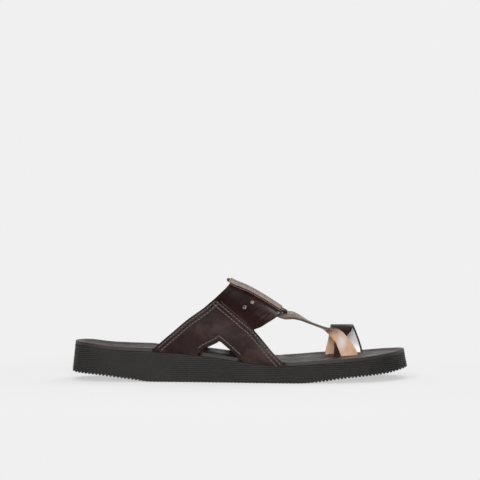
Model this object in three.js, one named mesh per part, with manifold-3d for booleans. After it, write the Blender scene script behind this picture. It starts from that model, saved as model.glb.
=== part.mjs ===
// Toe ring sandal, right shoe: rubber wedge, leather footbed, strap upper with toe ring, instep buckle.
// Millimetres, +X from heel to toe, +Y to the inner (big toe) side, +Z up, the ground at z = 0.

import * as THREE from "three";
import { mergeVertices } from "three/addons/utils/BufferGeometryUtils.js";
import Module from "manifold-3d";

const wasm = await Module();
wasm.setup();

// Driving dimensions
const LENGTH = 290;
const BALL_WIDTH = 100;
const HEEL_HEIGHT = 28.5;
const INSTEP_HEIGHT = 80;
const RING_HEIGHT = 45.2;
const GAP = 0.3;

// Sole and footbed
const INSOLE_THICKNESS = 3.2;
const RIB_COUNT = 7;
const RIB_DEPTH = 0.5;
const SOLE_FLARE = 2.4;
const INSOLE_SETBACK = 0.5;
const CUP_DEPTH = 1.4;
const CUP_WIDTH = 9;

// Upper
const WALL = 2.4;
const PANEL_STEP = 1.2;
const UPPER_SETBACK = 2.2;
const LEAN = 0.075;
const STRAP_THICKNESS = 2.0;
const RING_THICKNESS = 2.2;
const BILLET_THICKNESS = 2.4;
const BILLET_TAIL = 9;
const BILLET_END = 0.84;
const BILLET_END_STEP = 0.5;

// Buckle and rivets
const BAR_DIAMETER = 3.2;
const BUCKLE_OVERHANG = 2.0;
const BUCKLE_CORNER = 3;
const HINGE_BAR_ACROSS = -4.5;
const HINGE_BAR_RISE = 0.4;
const FAR_BAR_ACROSS = 15.5;
const PIN_DIAMETER = 1.8;
const RIVET_HEAD_DIAMETER = 3.8;
const RIVET_HEAD_HEIGHT = 1.0;
const RIVET_SHANK_DIAMETER = 1.8;

// Facets
const STATIONS = 34;
const SHELL_ROWS = 22;
const SHELL_STEPS = 24;
const STRIP_STEPS = 4;
const STRIP_RINGS = 24;
const ROUND_SIDES = 10;

// Outline of the sole at the ground: half widths are shares of the ball width, minus is the outer side.
const OUTLINE = [
  { along: 0.0, outer: 0.0, inner: 0.0 },
  { along: 0.01, outer: -0.14, inner: 0.14 },
  { along: 0.035, outer: -0.24, inner: 0.24 },
  { along: 0.085, outer: -0.305, inner: 0.305 },
  { along: 0.155, outer: -0.335, inner: 0.33 },
  { along: 0.26, outer: -0.35, inner: 0.325 },
  { along: 0.36, outer: -0.38, inner: 0.32 },
  { along: 0.465, outer: -0.425, inner: 0.34 },
  { along: 0.57, outer: -0.475, inner: 0.405 },
  { along: 0.655, outer: -0.5, inner: 0.465 },
  { along: 0.725, outer: -0.495, inner: 0.5 },
  { along: 0.81, outer: -0.45, inner: 0.495 },
  { along: 0.88, outer: -0.37, inner: 0.46 },
  { along: 0.93, outer: -0.265, inner: 0.41 },
  { along: 0.965, outer: -0.15, inner: 0.355 },
  { along: 0.99, outer: -0.005, inner: 0.275 },
  { along: 1.0, outer: 0.14, inner: 0.14 },
];

// Side profile: the rim of the footbed and the ground line, as shares of the heel height.
const PROFILE = [
  { along: 0.0, rim: 1.17, ground: 0.245 },
  { along: 0.05, rim: 1.14, ground: 0.215 },
  { along: 0.11, rim: 1.055, ground: 0.16 },
  { along: 0.17, rim: 1.02, ground: 0.08 },
  { along: 0.22, rim: 1.005, ground: 0.015 },
  { along: 0.245, rim: 0.993, ground: 0.0 },
  { along: 0.32, rim: 0.95, ground: 0.0 },
  { along: 0.38, rim: 0.885, ground: 0.0 },
  { along: 0.44, rim: 0.81, ground: 0.0 },
  { along: 0.495, rim: 0.73, ground: 0.0 },
  { along: 0.56, rim: 0.645, ground: 0.0 },
  { along: 0.625, rim: 0.61, ground: 0.0 },
  { along: 0.675, rim: 0.63, ground: 0.0 },
  { along: 0.74, rim: 0.675, ground: 0.05 },
  { along: 0.8, rim: 0.705, ground: 0.125 },
  { along: 0.865, rim: 0.745, ground: 0.175 },
  { along: 0.93, rim: 0.815, ground: 0.225 },
  { along: 0.965, rim: 0.85, ground: 0.28 },
  { along: 1.0, rim: 0.89, ground: 0.33 },
];

// Ridge of the instep on the last, as shares of the instep height.
const INSTEP = [
  { along: 0.2, ridge: 1.42 },
  { along: 0.36, ridge: 1.235 },
  { along: 0.486, ridge: 1.008 },
  { along: 0.52, ridge: 0.957 },
  { along: 0.555, ridge: 0.888 },
  { along: 0.59, ridge: 0.81 },
  { along: 0.628, ridge: 0.7225 },
  { along: 0.72, ridge: 0.575 },
];

// Smooth value of a table's column at a share of the length; `spread` sets the spacing it is smooth in.
function lookUp(rows, column, along, spread = (share) => share) {
  const last = rows.length - 1;
  const t = THREE.MathUtils.clamp(along, rows[0].along, rows[last].along);
  let i = 0;
  while (i < last - 1 && rows[i + 1].along < t) i += 1;
  const key = (k) => spread(rows[k].along);
  const slope = (k) => {
    const before = Math.max(k - 1, 0);
    const after = Math.min(k + 1, last);
    return (rows[after][column] - rows[before][column]) / (key(after) - key(before));
  };
  const step = key(i + 1) - key(i);
  const u = (spread(t) - key(i)) / step;
  const [a, b] = [rows[i][column], rows[i + 1][column]];
  const cubic = u * u * (3 - 2 * u);
  const rise = slope(i) * step * u * (1 - u) * (1 - u);
  const fall = slope(i + 1) * step * u * u * (1 - u);
  return a + (b - a) * cubic + rise - fall;
}

// An outline is smooth in the angle of a circle over the length, which rounds heel and toe.
const roundEnds = (share) => Math.acos(THREE.MathUtils.clamp(1 - 2 * share, -1, 1));
const outerEdge = (x) => BALL_WIDTH * lookUp(OUTLINE, "outer", x / LENGTH, roundEnds);
const innerEdge = (x) => BALL_WIDTH * lookUp(OUTLINE, "inner", x / LENGTH, roundEnds);
const rimHeight = (x) => HEEL_HEIGHT * lookUp(PROFILE, "rim", x / LENGTH);
const groundHeight = (x) => Math.max(0, HEEL_HEIGHT * lookUp(PROFILE, "ground", x / LENGTH));
const outsoleTop = (x) => rimHeight(x) - INSOLE_THICKNESS - GAP;
const ridgeHeight = (x) => INSTEP_HEIGHT * lookUp(INSTEP, "ridge", x / LENGTH);

// Closed solids from points and triangles, turned to face outwards.
function solidFrom(points, triangles) {
  const geometry = new THREE.BufferGeometry();
  geometry.setAttribute("position", new THREE.Float32BufferAttribute(points.flat(), 3));
  geometry.setIndex(triangles.flat());
  return solidOf(geometry);
}

function solidOf(source) {
  const geometry = source.clone();
  geometry.deleteAttribute("normal");
  geometry.deleteAttribute("uv");
  const merged = mergeVertices(geometry, 1e-4);
  const triVerts = new Uint32Array(merged.index.array);
  const vertProperties = new Float32Array(merged.attributes.position.array);
  const solid = new wasm.Manifold(new wasm.Mesh({ numProp: 3, vertProperties, triVerts }));
  if (solid.volume() > 0) return solid;
  for (let i = 0; i < triVerts.length; i += 3) {
    [triVerts[i + 1], triVerts[i + 2]] = [triVerts[i + 2], triVerts[i + 1]];
  }
  return new wasm.Manifold(new wasm.Mesh({ numProp: 3, vertProperties, triVerts }));
}

function geometryOf(solid) {
  const mesh = solid.getMesh();
  const geometry = new THREE.BufferGeometry();
  geometry.setAttribute("position", new THREE.Float32BufferAttribute(mesh.vertProperties, 3));
  geometry.setIndex(new THREE.Uint32BufferAttribute(mesh.triVerts, 1));
  const flat = geometry.toNonIndexed();
  flat.computeVertexNormals();
  return flat;
}

// The sole's outline drawn in by an inset: outer side from heel to toe, then back along the inner side.
function outlineLoop(inset) {
  const points = [];
  for (let i = 0; i < 2 * STATIONS; i += 1) {
    const outerSide = i <= STATIONS;
    const station = outerSide ? i : 2 * STATIONS - i;
    const x = (LENGTH * (1 - Math.cos((Math.PI * station) / STATIONS))) / 2;
    points.push(new THREE.Vector2(x, outerSide ? outerEdge(x) : innerEdge(x)));
  }
  const count = points.length;
  return points.map((point, i) => {
    const before = points[(i + count - 1) % count];
    const after = points[(i + 1) % count];
    const along = after.clone().sub(before).normalize();
    return new THREE.Vector2(point.x - along.y * inset, point.y + along.x * inset);
  });
}

// A solid stacked from loops of the sole's outline, closed across from the outer to the inner side.
function stackOfLoops(loops) {
  const count = 2 * STATIONS;
  const points = loops.flat();
  const triangles = [];
  for (let level = 0; level < loops.length - 1; level += 1) {
    for (let i = 0; i < count; i += 1) {
      const a = level * count + i;
      const b = level * count + ((i + 1) % count);
      triangles.push([a, b, b + count], [a, b + count, a + count]);
    }
  }
  const top = (loops.length - 1) * count;
  for (let i = 1; i < STATIONS; i += 1) {
    const [outer, inner] = [i, count - i];
    const [outerNext, innerNext] = [i + 1, count - i - 1];
    triangles.push([outer, inner, outerNext], [top + outer, top + outerNext, top + inner]);
    if (i < STATIONS - 1) {
      triangles.push([outerNext, inner, innerNext], [top + outerNext, top + innerNext, top + inner]);
    }
  }
  triangles.push([0, count - 1, 1], [top, top + 1, top + count - 1]);
  return solidFrom(points, triangles);
}

// Rubber wedge with a rounded heel, a toe spring and level ribs round its side.
function outsoleSolid() {
  const levels = [];
  levels.push({ share: 0, inset: 1.2 });
  levels.push({ share: 0.03, inset: 0 });
  const pitch = 0.94 / RIB_COUNT;
  for (let rib = 0; rib < RIB_COUNT; rib += 1) {
    const from = 0.05 + rib * pitch;
    levels.push({ share: from + 0.1 * pitch, inset: 0 });
    levels.push({ share: from + 0.5 * pitch, inset: RIB_DEPTH });
    levels.push({ share: from + 0.9 * pitch, inset: 0 });
  }
  levels.push({ share: 1, inset: 0 });
  const loops = levels.map(({ share, inset }) =>
    outlineLoop(inset + share * SOLE_FLARE).map(({ x, y }) => {
      const z = THREE.MathUtils.lerp(groundHeight(x), outsoleTop(x), share);
      return [x, y, z];
    }),
  );
  return stackOfLoops(loops);
}

// Leather footbed of even thickness with its middle dished below the rim.
function insoleSolid() {
  const edge = SOLE_FLARE + INSOLE_SETBACK;
  const levels = [
    { inset: edge + 0.2, drop: INSOLE_THICKNESS },
    { inset: edge, drop: INSOLE_THICKNESS - 0.6 },
    { inset: edge, drop: 0.7 },
    { inset: edge + 0.8, drop: 0 },
    { inset: edge + 0.45 * CUP_WIDTH, drop: 0.4 * CUP_DEPTH },
    { inset: edge + CUP_WIDTH, drop: CUP_DEPTH },
  ];
  const loops = levels.map(({ inset, drop }) =>
    outlineLoop(inset).map(({ x, y }) => [x, y, rimHeight(x) - drop]),
  );
  return stackOfLoops(loops);
}

// The last over the instep: half an ellipse at each station, standing inside the sole's edge.
// `turn` goes from 0 at the outer edge over the ridge at 0.5 to 1 at the inner edge.
function lastPoint(x, turn, offset) {
  const outer = outerEdge(x) + SOLE_FLARE + UPPER_SETBACK;
  const inner = innerEdge(x) - SOLE_FLARE - UPPER_SETBACK;
  const middle = (outer + inner) / 2;
  const halfWidth = (inner - outer) / 2;
  const foot = outsoleTop(x) + GAP;
  const height = ridgeHeight(x) - foot;
  const angle = Math.PI * turn;
  const across = -Math.cos(angle);
  const up = Math.sin(angle);
  const normal = new THREE.Vector2(across / halfWidth, up / height).normalize();
  return [x, middle + halfWidth * across + normal.x * offset, foot + height * up + normal.y * offset];
}

// Part of the last's surface as a wall between two offsets, each a number or a function of the turn.
function shellSolid({ from, to, inside, outside, turnFrom = 0, turnTo = 1, rows = SHELL_ROWS }) {
  const offsetAt = (offset, turn) => (typeof offset === "function" ? offset(turn) : offset);
  const points = [];
  for (let row = 0; row <= rows; row += 1) {
    const x = THREE.MathUtils.lerp(from, to, row / rows);
    for (const offset of [inside, outside]) {
      for (let step = 0; step <= SHELL_STEPS; step += 1) {
        const turn = THREE.MathUtils.lerp(turnFrom, turnTo, step / SHELL_STEPS);
        points.push(lastPoint(x, turn, offsetAt(offset, turn)));
      }
    }
  }
  const width = SHELL_STEPS + 1;
  const at = (row, side, step) => (2 * row + side) * width + step;
  const triangles = [];
  const quad = (a, b, c, d) => triangles.push([a, b, c], [a, c, d]);
  for (let row = 0; row < rows; row += 1) {
    for (let step = 0; step < SHELL_STEPS; step += 1) {
      quad(at(row, 0, step), at(row, 0, step + 1), at(row + 1, 0, step + 1), at(row + 1, 0, step));
      quad(at(row, 1, step), at(row + 1, 1, step), at(row + 1, 1, step + 1), at(row, 1, step + 1));
    }
    quad(at(row, 0, 0), at(row + 1, 0, 0), at(row + 1, 1, 0), at(row, 1, 0));
    const last = SHELL_STEPS;
    quad(at(row, 0, last), at(row, 1, last), at(row + 1, 1, last), at(row + 1, 0, last));
  }
  for (let step = 0; step < SHELL_STEPS; step += 1) {
    quad(at(0, 0, step), at(0, 1, step), at(0, 1, step + 1), at(0, 0, step + 1));
    quad(at(rows, 0, step), at(rows, 0, step + 1), at(rows, 1, step + 1), at(rows, 1, step));
  }
  return solidFrom(points, triangles);
}

// Side outlines of the upper, given on its outer side: along as a share of the length, up as a share of
// the instep height. They lean down towards the inner side.
const REAR_EDGE = [
  { along: 0.2052, up: 0.2273 },
  { along: 0.2415, up: 0.3431 },
  { along: 0.274, up: 0.4484 },
  { along: 0.3019, up: 0.5327 },
  { along: 0.3431, up: 0.659 },
  { along: 0.3921, up: 0.7853 },
  { along: 0.4098, up: 0.839 },
];
const STRAP_REAR_TOP = { along: 0.4753, up: 1.07 };
const STRAP_FRONT_TOP = { along: 0.6332, up: 0.78 };
const STRAP_FRONT_EDGE = [
  { along: 0.623, up: 0.7558 },
  { along: 0.6027, up: 0.7053 },
  { along: 0.5853, up: 0.6653 },
  { along: 0.5621, up: 0.6106 },
  { along: 0.536, up: 0.5611 },
];
const FRONT_EDGE = [
  { along: 0.536, up: 0.5611 },
  { along: 0.5528, up: 0.4906 },
  { along: 0.5723, up: 0.4063 },
  { along: 0.5914, up: 0.3221 },
  { along: 0.6051, up: 0.2694 },
  { along: 0.6202, up: 0.2083 },
  { along: 0.6347, up: 0.1483 },
];
const PANEL_TOP = [
  { along: 0.4275, up: 0.8926 },
  { along: 0.4452, up: 0.8358 },
];
const WINDOW = [
  { along: 0.36, up: 0.13 },
  { along: 0.3813, up: 0.3242 },
  { along: 0.4301, up: 0.4295 },
  { along: 0.4362, up: 0.4432 },
  { along: 0.442, up: 0.4284 },
  { along: 0.4939, up: 0.2621 },
  { along: 0.53, up: 0.13 },
];

// Where the side outlines are given: the outer side of the upper.
const outerSide = -0.4 * BALL_WIDTH;

// A leaning prism across the whole shoe with a side outline, grown outwards where a clearance is wanted.
function sidePrism(rows, grow = 0) {
  const corners = rows.map(({ along, up }) => new THREE.Vector2(along * LENGTH, up * INSTEP_HEIGHT));
  const turn = THREE.ShapeUtils.isClockWise(corners) ? -1 : 1;
  const grown = corners.map((corner, i) => {
    const before = corners[(i + corners.length - 1) % corners.length];
    const after = corners[(i + 1) % corners.length];
    const along = after.clone().sub(before).normalize();
    return new THREE.Vector2(corner.x + turn * along.y * grow, corner.y - turn * along.x * grow);
  });
  const depth = 2 * BALL_WIDTH;
  const prism = new THREE.ExtrudeGeometry(new THREE.Shape(grown), { depth, bevelEnabled: false });
  prism.rotateX(Math.PI / 2);
  prism.translate(0, depth / 2, 0);
  const lean = new THREE.Matrix4().makeShear(0, 0, 0, -LEAN, 0, 0);
  prism.applyMatrix4(lean);
  prism.translate(0, 0, LEAN * outerSide);
  return solidOf(prism);
}

const FOOT_ROWS = [
  { along: 0.6347, up: 0.1 },
  { along: 0.2052, up: 0.1 },
];
const wholeOutline = [
  ...REAR_EDGE,
  STRAP_REAR_TOP,
  { along: STRAP_REAR_TOP.along, up: 1.4 },
  { along: STRAP_FRONT_TOP.along, up: 1.4 },
  STRAP_FRONT_TOP,
  ...STRAP_FRONT_EDGE,
  ...FRONT_EDGE.slice(1),
  ...FOOT_ROWS,
];
const panelOutline = [...REAR_EDGE, ...PANEL_TOP, ...FRONT_EDGE, ...FOOT_ROWS];

// Strips of leather lofted along a path: width, crown and thickness change from row to row.
function stripSolid(rows, thickness, grow = 0) {
  const curve = new THREE.CatmullRomCurve3(rows.map(({ point }) => point), false, "centripetal");
  const points = [];
  const ringSize = 2 * (STRIP_STEPS + 1);
  for (let ring = 0; ring <= STRIP_RINGS; ring += 1) {
    const t = ring / STRIP_RINGS;
    const centre = curve.getPoint(t);
    const tangent = curve.getTangent(t);
    const place = t * (rows.length - 1);
    const low = Math.min(Math.floor(place), rows.length - 2);
    const part = place - low;
    const mix = (column) => THREE.MathUtils.lerp(rows[low][column], rows[low + 1][column], part);
    const wide = rows[low].wide.clone().lerp(rows[low + 1].wide, part);
    wide.addScaledVector(tangent, -wide.dot(tangent)).normalize();
    const face = new THREE.Vector3().crossVectors(tangent, wide);
    const half = mix("width") / 2 + grow;
    for (const side of [1, -1]) {
      for (let step = 0; step <= STRIP_STEPS; step += 1) {
        const u = side * (1 - (2 * step) / STRIP_STEPS);
        const lift = (side * (thickness + 2 * grow)) / 2 - mix("crown") * u * u;
        const point = centre.clone().addScaledVector(wide, u * half).addScaledVector(face, lift);
        points.push(point.toArray());
      }
    }
  }
  const triangles = [];
  for (let ring = 0; ring < STRIP_RINGS; ring += 1) {
    for (let i = 0; i < ringSize; i += 1) {
      const a = ring * ringSize + i;
      const b = ring * ringSize + ((i + 1) % ringSize);
      triangles.push([a, b, b + ringSize], [a, b + ringSize, a + ringSize]);
    }
  }
  const end = STRIP_RINGS * ringSize;
  for (let step = 0; step < STRIP_STEPS; step += 1) {
    const [a, b] = [step, step + 1];
    const [c, d] = [ringSize - 2 - step, ringSize - 1 - step];
    triangles.push([a, c, b], [a, d, c], [end + a, end + b, end + c], [end + a, end + c, end + d]);
  }
  return solidFrom(points, triangles);
}

// Toe strap: grain up under the instep strap, then turned on edge and down between the toes.
const TOE_STRAP = [
  { along: 0.586, across: 0.01, above: 0.802, width: 0.3, crown: 0.05, roll: 0 },
  { along: 0.628, across: 0.01, above: 0.722, width: 0.29, crown: 0.045, roll: 2 },
  { along: 0.655, across: 0.01, above: 0.708, width: 0.24, crown: 0.036, roll: 4 },
  { along: 0.679, across: 0.012, above: 0.663, width: 0.18, crown: 0.016, roll: 3 },
  { along: 0.7, across: 0.016, above: 0.615, width: 0.13, crown: 0.005, roll: 0 },
  { along: 0.728, across: 0.025, above: 0.57, width: 0.11, crown: 0.002, roll: -4 },
  { along: 0.752, across: 0.04, above: 0.535, width: 0.1, crown: 0, roll: -9 },
  { along: 0.768, across: 0.052, above: 0.511, width: 0.1, crown: 0, roll: -32 },
  { along: 0.781, across: 0.064, above: 0.484, width: 0.102, crown: 0, roll: -62 },
  { along: 0.792, across: 0.072, above: 0.448, width: 0.108, crown: 0, roll: -80 },
  { along: 0.8015, across: 0.078, above: 0.407, width: 0.114, crown: 0, roll: -88 },
  { along: 0.81, across: 0.082, above: 0.354, width: 0.128, crown: 0, roll: -90 },
  { along: 0.8195, across: 0.085, above: 0.29, width: 0.14, crown: 0, roll: -90 },
  { along: 0.826, across: 0.087, above: 0.24, width: 0.14, crown: 0, roll: -90 },
  { along: 0.829, across: 0.088, above: 0.19, width: 0.14, crown: 0, roll: -90 },
];

// Toe ring: from the slot by the inner edge over the big toe to the slot between the toes.
const TOE_RING = [
  { along: 0.8145, across: 0.365, above: 0.38, width: 0.33 },
  { along: 0.8145, across: 0.376, above: 0.5, width: 0.32 },
  { along: 0.8135, across: 0.381, above: 0.64, width: 0.285 },
  { along: 0.8115, across: 0.373, above: 0.775, width: 0.25 },
  { along: 0.809, across: 0.347, above: 0.895, width: 0.22 },
  { along: 0.807, across: 0.3, above: 0.962, width: 0.2 },
  { along: 0.8055, across: 0.25, above: 0.975, width: 0.195 },
  { along: 0.8055, across: 0.2, above: 0.96, width: 0.19 },
  { along: 0.8045, across: 0.163, above: 0.91, width: 0.165 },
  { along: 0.802, across: 0.138, above: 0.84, width: 0.12 },
  { along: 0.7985, across: 0.119, above: 0.74, width: 0.09 },
  { along: 0.7955, across: 0.108, above: 0.6, width: 0.085 },
  { along: 0.7945, across: 0.105, above: 0.47, width: 0.085 },
  { along: 0.7945, across: 0.105, above: 0.35, width: 0.085 },
];

function toeStrapSolid(grow = 0) {
  const centres = TOE_STRAP.map(({ along, across, above }) =>
    new THREE.Vector3(along * LENGTH, across * BALL_WIDTH, above * INSTEP_HEIGHT),
  );
  const rows = TOE_STRAP.map(({ width, crown, roll }, i) => {
    const before = centres[Math.max(i - 1, 0)];
    const after = centres[Math.min(i + 1, centres.length - 1)];
    const tangent = after.clone().sub(before).normalize();
    const wide = new THREE.Vector3(0, 1, 0).applyAxisAngle(tangent, THREE.MathUtils.degToRad(roll));
    return { point: centres[i], width: width * BALL_WIDTH, crown: crown * BALL_WIDTH, wide };
  });
  return stripSolid(rows, STRAP_THICKNESS, grow);
}

function toeRingSolid(grow = 0) {
  const rows = TOE_RING.map(({ along, across, above, width }) => ({
    point: new THREE.Vector3(along * LENGTH, across * BALL_WIDTH, above * RING_HEIGHT),
    width: width * BALL_WIDTH,
    crown: 0,
    wide: new THREE.Vector3(1, 0, 0),
  }));
  return stripSolid(rows, RING_THICKNESS, grow);
}

// Everything above the top of the outsole, which trims the strap ends to their seat.
function aboveOutsole() {
  const tops = [];
  const bottoms = [];
  for (let i = 0; i <= STATIONS; i += 1) {
    const x = (LENGTH * i) / STATIONS;
    tops.push(new THREE.Vector2(x, outsoleTop(x) + GAP));
    bottoms.unshift(new THREE.Vector2(x, 2 * INSTEP_HEIGHT));
  }
  const depth = 2 * BALL_WIDTH;
  const shape = new THREE.Shape([...tops, ...bottoms]);
  const prism = new THREE.ExtrudeGeometry(shape, { depth, bevelEnabled: false });
  prism.rotateX(Math.PI / 2);
  prism.translate(0, depth / 2, 0);
  return solidOf(prism);
}

// Where the instep strap lies: its rear and front on the ridge, and the ridge's run between them.
const strapRear = STRAP_REAR_TOP.along * LENGTH;
const strapFront = STRAP_FRONT_EDGE[0].along * LENGTH;

// The turn round the last at which its surface is `across` mm to the inner side of the middle.
function turnAt(x, across) {
  const halfWidth = (innerEdge(x) - outerEdge(x)) / 2 - SOLE_FLARE - UPPER_SETBACK;
  return Math.acos(THREE.MathUtils.clamp(-across / halfWidth, -1, 1)) / Math.PI;
}

const strapMiddle = (strapRear + strapFront) / 2;
const tailTurn = turnAt(strapMiddle, -BILLET_TAIL);
const hingeTurn = turnAt(strapMiddle, HINGE_BAR_ACROSS);
const farTurn = turnAt(strapMiddle, FAR_BAR_ACROSS);
const slit = BAR_DIAMETER * 0.75;

// The billet lifts off the strap over the hinge bar and comes down on it past the far bar.
function billetLift(turn) {
  const fall = THREE.MathUtils.smoothstep(turn, hingeTurn, farTurn);
  return slit * (1 - fall);
}

function billetSolid() {
  const from = strapRear - 6;
  const to = strapFront + 6;
  const skive = (turn) => THREE.MathUtils.smoothstep(turn, farTurn, BILLET_END);
  const thickness = (turn) => THREE.MathUtils.lerp(BILLET_THICKNESS, BILLET_END_STEP, skive(turn));
  return shellSolid({
    from,
    to,
    inside: (turn) => billetLift(turn) - 0.4 * THREE.MathUtils.smoothstep(turn, hingeTurn, farTurn),
    outside: (turn) => billetLift(turn) + thickness(turn),
    turnFrom: tailTurn,
    turnTo: BILLET_END,
    rows: 12,
  });
}

// Buckle: a bar bent to a rectangle, with the hinge bar under the billet and the far bar over it.
function buckleCorner(x, turn, offset) {
  return new THREE.Vector3(...lastPoint(x, turn, offset));
}

function bucklePlane() {
  const reach = BUCKLE_OVERHANG + BAR_DIAMETER / 2;
  const slope = Math.atan2(ridgeHeight(strapFront) - ridgeHeight(strapRear), strapFront - strapRear);
  const along = new THREE.Vector3(Math.cos(slope), 0, Math.sin(slope));
  const hinge = buckleCorner(strapMiddle, hingeTurn, HINGE_BAR_RISE);
  const far = buckleCorner(strapMiddle, farTurn, BILLET_THICKNESS + GAP + BAR_DIAMETER / 2);
  const across = far.clone().sub(hinge);
  const gauge = across.length();
  across.normalize();
  const normal = new THREE.Vector3().crossVectors(along, across).normalize();
  const length = (strapFront - strapRear) / Math.cos(slope) + 2 * reach;
  return { centre: hinge.clone().add(far).multiplyScalar(0.5), along, across, normal, gauge, length };
}

function circle(diameter) {
  const corners = [];
  for (let i = 0; i < ROUND_SIDES; i += 1) {
    const angle = (2 * Math.PI * i) / ROUND_SIDES;
    corners.push(new THREE.Vector2((Math.cos(angle) * diameter) / 2, (Math.sin(angle) * diameter) / 2));
  }
  return corners;
}

// A round bar along a path of points, closed on itself or with flat ends.
function barSolid(path, diameter, closed) {
  const section = circle(diameter);
  const count = path.length;
  const points = [];
  const triangles = [];
  const up = new THREE.Vector3().crossVectors(
    path[1].clone().sub(path[0]),
    path[2].clone().sub(path[0]),
  );
  if (up.length() < 1e-6) up.set(0, 1, 0);
  up.normalize();
  path.forEach((centre, i) => {
    const before = path[closed ? (i + count - 1) % count : Math.max(i - 1, 0)];
    const after = path[closed ? (i + 1) % count : Math.min(i + 1, count - 1)];
    const tangent = after.clone().sub(before).normalize();
    const side = new THREE.Vector3().crossVectors(tangent, up).normalize();
    const top = new THREE.Vector3().crossVectors(side, tangent);
    for (const corner of section) {
      points.push(centre.clone().addScaledVector(side, corner.x).addScaledVector(top, corner.y).toArray());
    }
  });
  const spans = closed ? count : count - 1;
  for (let i = 0; i < spans; i += 1) {
    for (let k = 0; k < ROUND_SIDES; k += 1) {
      const next = (k + 1) % ROUND_SIDES;
      const [a, b] = [i * ROUND_SIDES + k, i * ROUND_SIDES + next];
      const ahead = ((i + 1) % count) * ROUND_SIDES;
      triangles.push([a, b, ahead + next], [a, ahead + next, ahead + k]);
    }
  }
  if (!closed) {
    const end = (count - 1) * ROUND_SIDES;
    for (let k = 1; k < ROUND_SIDES - 1; k += 1) {
      triangles.push([0, k + 1, k], [end, end + k, end + k + 1]);
    }
  }
  return solidFrom(points, triangles);
}

function buckleFrameSolid(grow = 0) {
  const { centre, along, across, gauge, length } = bucklePlane();
  const [halfLength, halfGauge] = [length / 2, gauge / 2];
  const path = [];
  const corners = [
    { sideways: 1, forward: 1, start: 0 },
    { sideways: 1, forward: -1, start: 90 },
    { sideways: -1, forward: -1, start: 180 },
    { sideways: -1, forward: 1, start: 270 },
  ];
  for (const { sideways, forward, start } of corners) {
    for (const turn of [0, 30, 60, 90]) {
      const angle = THREE.MathUtils.degToRad(start + turn);
      const lengthways = forward * (halfLength - BUCKLE_CORNER) + BUCKLE_CORNER * Math.cos(angle);
      const crossways = sideways * (halfGauge - BUCKLE_CORNER) + BUCKLE_CORNER * Math.sin(angle);
      path.push(centre.clone().addScaledVector(along, lengthways).addScaledVector(across, crossways));
    }
  }
  return barSolid(path, BAR_DIAMETER + 2 * grow, true);
}

function bucklePinSolid(grow = 0) {
  const { centre, across, normal, gauge } = bucklePlane();
  const clear = BAR_DIAMETER / 2 + PIN_DIAMETER / 2 + GAP;
  const rows = [
    { crossways: -0.42, raised: 0.85 },
    { crossways: -0.2, raised: 0.75 },
    { crossways: 0.1, raised: 0.72 },
    { crossways: 0.35, raised: 0.93 },
    { crossways: 0.5, raised: 1.02 },
    { crossways: 0.62, raised: 0.95 },
  ];
  const path = rows.map(({ crossways, raised }) =>
    centre.clone().addScaledVector(across, crossways * gauge).addScaledVector(normal, raised * clear),
  );
  return barSolid(path, PIN_DIAMETER + 2 * grow, false);
}

// Rivets that hold the fold of the strap round the hinge bar: a low head and a shank through the wall.
const RIVETS = [
  { name: "rivet_rear", along: 0.5115, turn: 0.27 },
  { name: "rivet_front", along: 0.5343, turn: 0.33 },
];

function rivetSolid({ along, turn }, grow = 0) {
  const x = along * LENGTH;
  const seat = buckleCorner(x, turn, 0);
  const axis = buckleCorner(x, turn, 1).sub(seat).normalize();
  const profile = [
    [0, -WALL - 0.6 - grow],
    [RIVET_SHANK_DIAMETER / 2 + grow, -WALL - 0.6 - grow],
    [RIVET_SHANK_DIAMETER / 2 + grow, GAP - grow],
    [RIVET_HEAD_DIAMETER / 2 + grow, GAP - grow],
    [RIVET_HEAD_DIAMETER / 2 + grow, GAP + 0.35 * RIVET_HEAD_HEIGHT],
    [RIVET_HEAD_DIAMETER / 3, GAP + RIVET_HEAD_HEIGHT + grow],
    [0, GAP + RIVET_HEAD_HEIGHT + grow],
  ].map(([radius, height]) => new THREE.Vector2(radius, height));
  const lathe = new THREE.LatheGeometry(profile, ROUND_SIDES);
  lathe.applyQuaternion(new THREE.Quaternion().setFromUnitVectors(new THREE.Vector3(0, 1, 0), axis));
  lathe.translate(...seat.toArray());
  return solidOf(lathe);
}

// The upper is one hollow wall: straps and legs on the last, a raised side panel, billet, toe straps.
function upperSolid() {
  const range = { from: 0.2 * LENGTH, to: 0.655 * LENGTH };
  const straps = shellSolid({ ...range, inside: -WALL, outside: 0 }).intersect(sidePrism(wholeOutline));
  const panelWall = shellSolid({ ...range, inside: -WALL / 2, outside: PANEL_STEP });
  const panel = panelWall.intersect(sidePrism(panelOutline));
  const billet = billetSolid().intersect(sidePrism(wholeOutline));
  const cuts = [sidePrism(WINDOW), buckleFrameSolid(GAP), bucklePinSolid(GAP)];
  for (const rivet of RIVETS) cuts.push(rivetSolid(rivet, GAP));
  let upper = straps.add(panel).add(billet).add(toeStrapSolid()).add(toeRingSolid());
  upper = upper.intersect(aboveOutsole());
  for (const cut of cuts) upper = upper.subtract(cut);
  return upper;
}

// The footbed's edge is notched for the legs and slotted for the toe straps, with a clearance.
function seatedInsoleSolid() {
  const range = { from: 0.2 * LENGTH, to: 0.655 * LENGTH };
  const legs = shellSolid({ ...range, inside: -WALL - GAP, outside: BALL_WIDTH * 0.1 });
  const notches = legs.intersect(sidePrism(wholeOutline, GAP)).subtract(sidePrism(WINDOW, -GAP));
  return insoleSolid().subtract(notches).subtract(toeStrapSolid(GAP)).subtract(toeRingSolid(GAP));
}

const RUBBER = { color: 0x2f2e2c, roughness: 0.75, metalness: 0 };
const FOOTBED = { color: 0x4a3530, roughness: 0.45, metalness: 0 };
const LEATHER = { color: 0x3b2727, roughness: 0.35, metalness: 0 };
const GUNMETAL = { color: 0x4b4946, roughness: 0.4, metalness: 0.9 };
const STEEL = { color: 0xb9b4ac, roughness: 0.35, metalness: 0.9 };

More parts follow.
